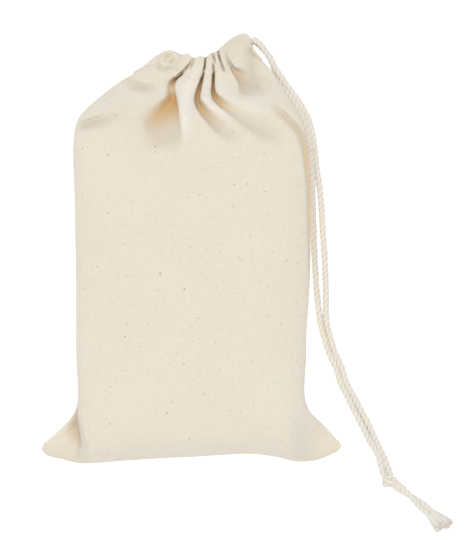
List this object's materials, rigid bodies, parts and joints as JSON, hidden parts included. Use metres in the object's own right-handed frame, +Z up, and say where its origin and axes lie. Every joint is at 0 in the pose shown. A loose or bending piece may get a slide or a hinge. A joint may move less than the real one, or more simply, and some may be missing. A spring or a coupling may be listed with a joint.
{
  "type": "fabric gift sack",
  "caption": "Small muslin drawstring gift sack, filled and lying on its back, with a gathered mouth, flat bottom corners and a knotted cotton cord.",
  "frame": {"origin": "centre of the sack's outline, on the surface that its back rests on; the free cord is left out of that outline", "axes": "+Y along the sack towards its mouth, +Z up out of its front, +X to the right, towards the side where the cord comes out"},
  "size_m": [0.1365, 0.1652, 0.027],
  "materials": {
    "muslin": "plain-woven unbleached cotton muslin, matt, with seed flecks",
    "thread": "matt cotton sewing thread",
    "cord": "twisted natural cotton cord, matt",
    "cord_fray": "loose cotton fibres of the cut cord"
  },
  "bodies": {
    "sack": {"front_panel": "muslin", "back_panel": "muslin", "right_flank": "muslin", "back_casing": "muslin", "front_casing_end": "muslin", "back_casing_end": "muslin", "left_seam": "muslin", "right_seam": "muslin", "bottom_seam": "muslin", "back_casing_stitching": "thread", "casing_end_stitching": "thread", "exit_bartack": "thread", "drawstring_back_run": "cord"},
    "front_lip": {"front_gather": "muslin", "front_casing": "muslin", "front_casing_stitching": "thread", "drawstring_front_run": "cord"},
    "cord_lead": {"shoulder_strand_a": "cord", "shoulder_strand_b": "cord"},
    "tails": {"tail_strand_a": "cord", "tail_strand_b": "cord", "tail_knot": "cord"},
    "tail_end": {"end_strand_a": "cord", "end_strand_b": "cord", "end_tuft_a": "cord_fray", "end_tuft_b": "cord_fray"}
  },
  "joints": [
    {"name": "mouth_open", "type": "hinge", "parent": "sack", "child": "front_lip", "pos_m": [0, 0.042, 0.0262], "axis": [1, 0, 0], "range_deg": [0, 45]},
    {"name": "drawstring_draw", "type": "slide", "parent": "sack", "child": "cord_lead", "axis": [0, 1, 0], "range_m": [0, 0.01], "deforming": ["shoulder_strand_a", "shoulder_strand_b"]},
    {"name": "tails_swing", "type": "hinge", "parent": "cord_lead", "child": "tails", "pos_m": [0.0404, 0.0334, 0.0015], "axis": [0, 0, 1], "range_deg": [0, 100]},
    {"name": "end_swing", "type": "hinge", "parent": "tails", "child": "tail_end", "pos_m": [0.0665, -0.0776, 0.0015], "axis": [0, 0, 1], "range_deg": [-60, 60]}
  ],
  "couplings": [
    {"joint": "drawstring_draw", "follows": "mouth_open", "m_per_rad": 0.0127}
  ]
}
